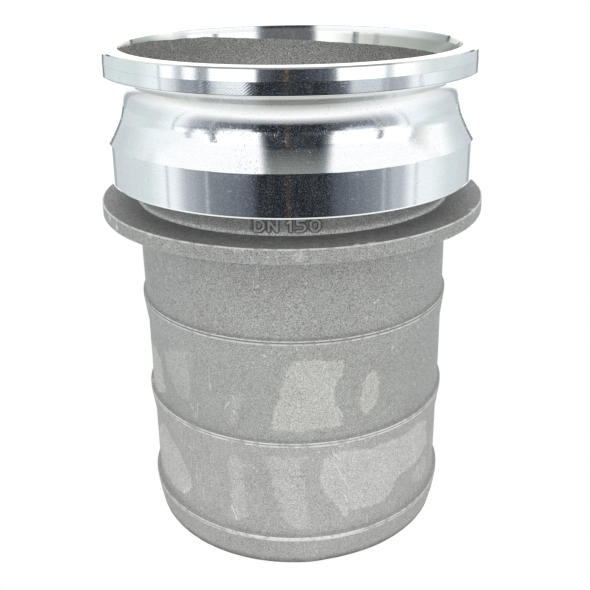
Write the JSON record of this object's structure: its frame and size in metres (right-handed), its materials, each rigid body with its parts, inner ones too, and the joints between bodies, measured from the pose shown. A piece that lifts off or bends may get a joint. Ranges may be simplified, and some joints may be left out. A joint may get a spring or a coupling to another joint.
{
  "type": "camlock hose adapter",
  "caption": "Male camlock adapter: turned nose, cam groove and skirt above a cast hose stop collar and a barbed hose shank, with a straight waterway through it.",
  "frame": {"origin": "centre of the hose-end face, on the axis of the turned head and the shank", "axes": "+Z along the axis from the hose end to the camlock sealing face; -Y is the side that carries the raised nominal-size mark; +X to the right of that side"},
  "size_m": [0.1834, 0.1834, 0.2358],
  "materials": {
    "cast_aluminium": "as cast, matt and fine grained; nose, cam groove, skirt, sealing face and mouth bevel turned bright"
  },
  "bodies": {
    "root": {"adapter_casting": "cast_aluminium"}
  },
  "joints": []
}
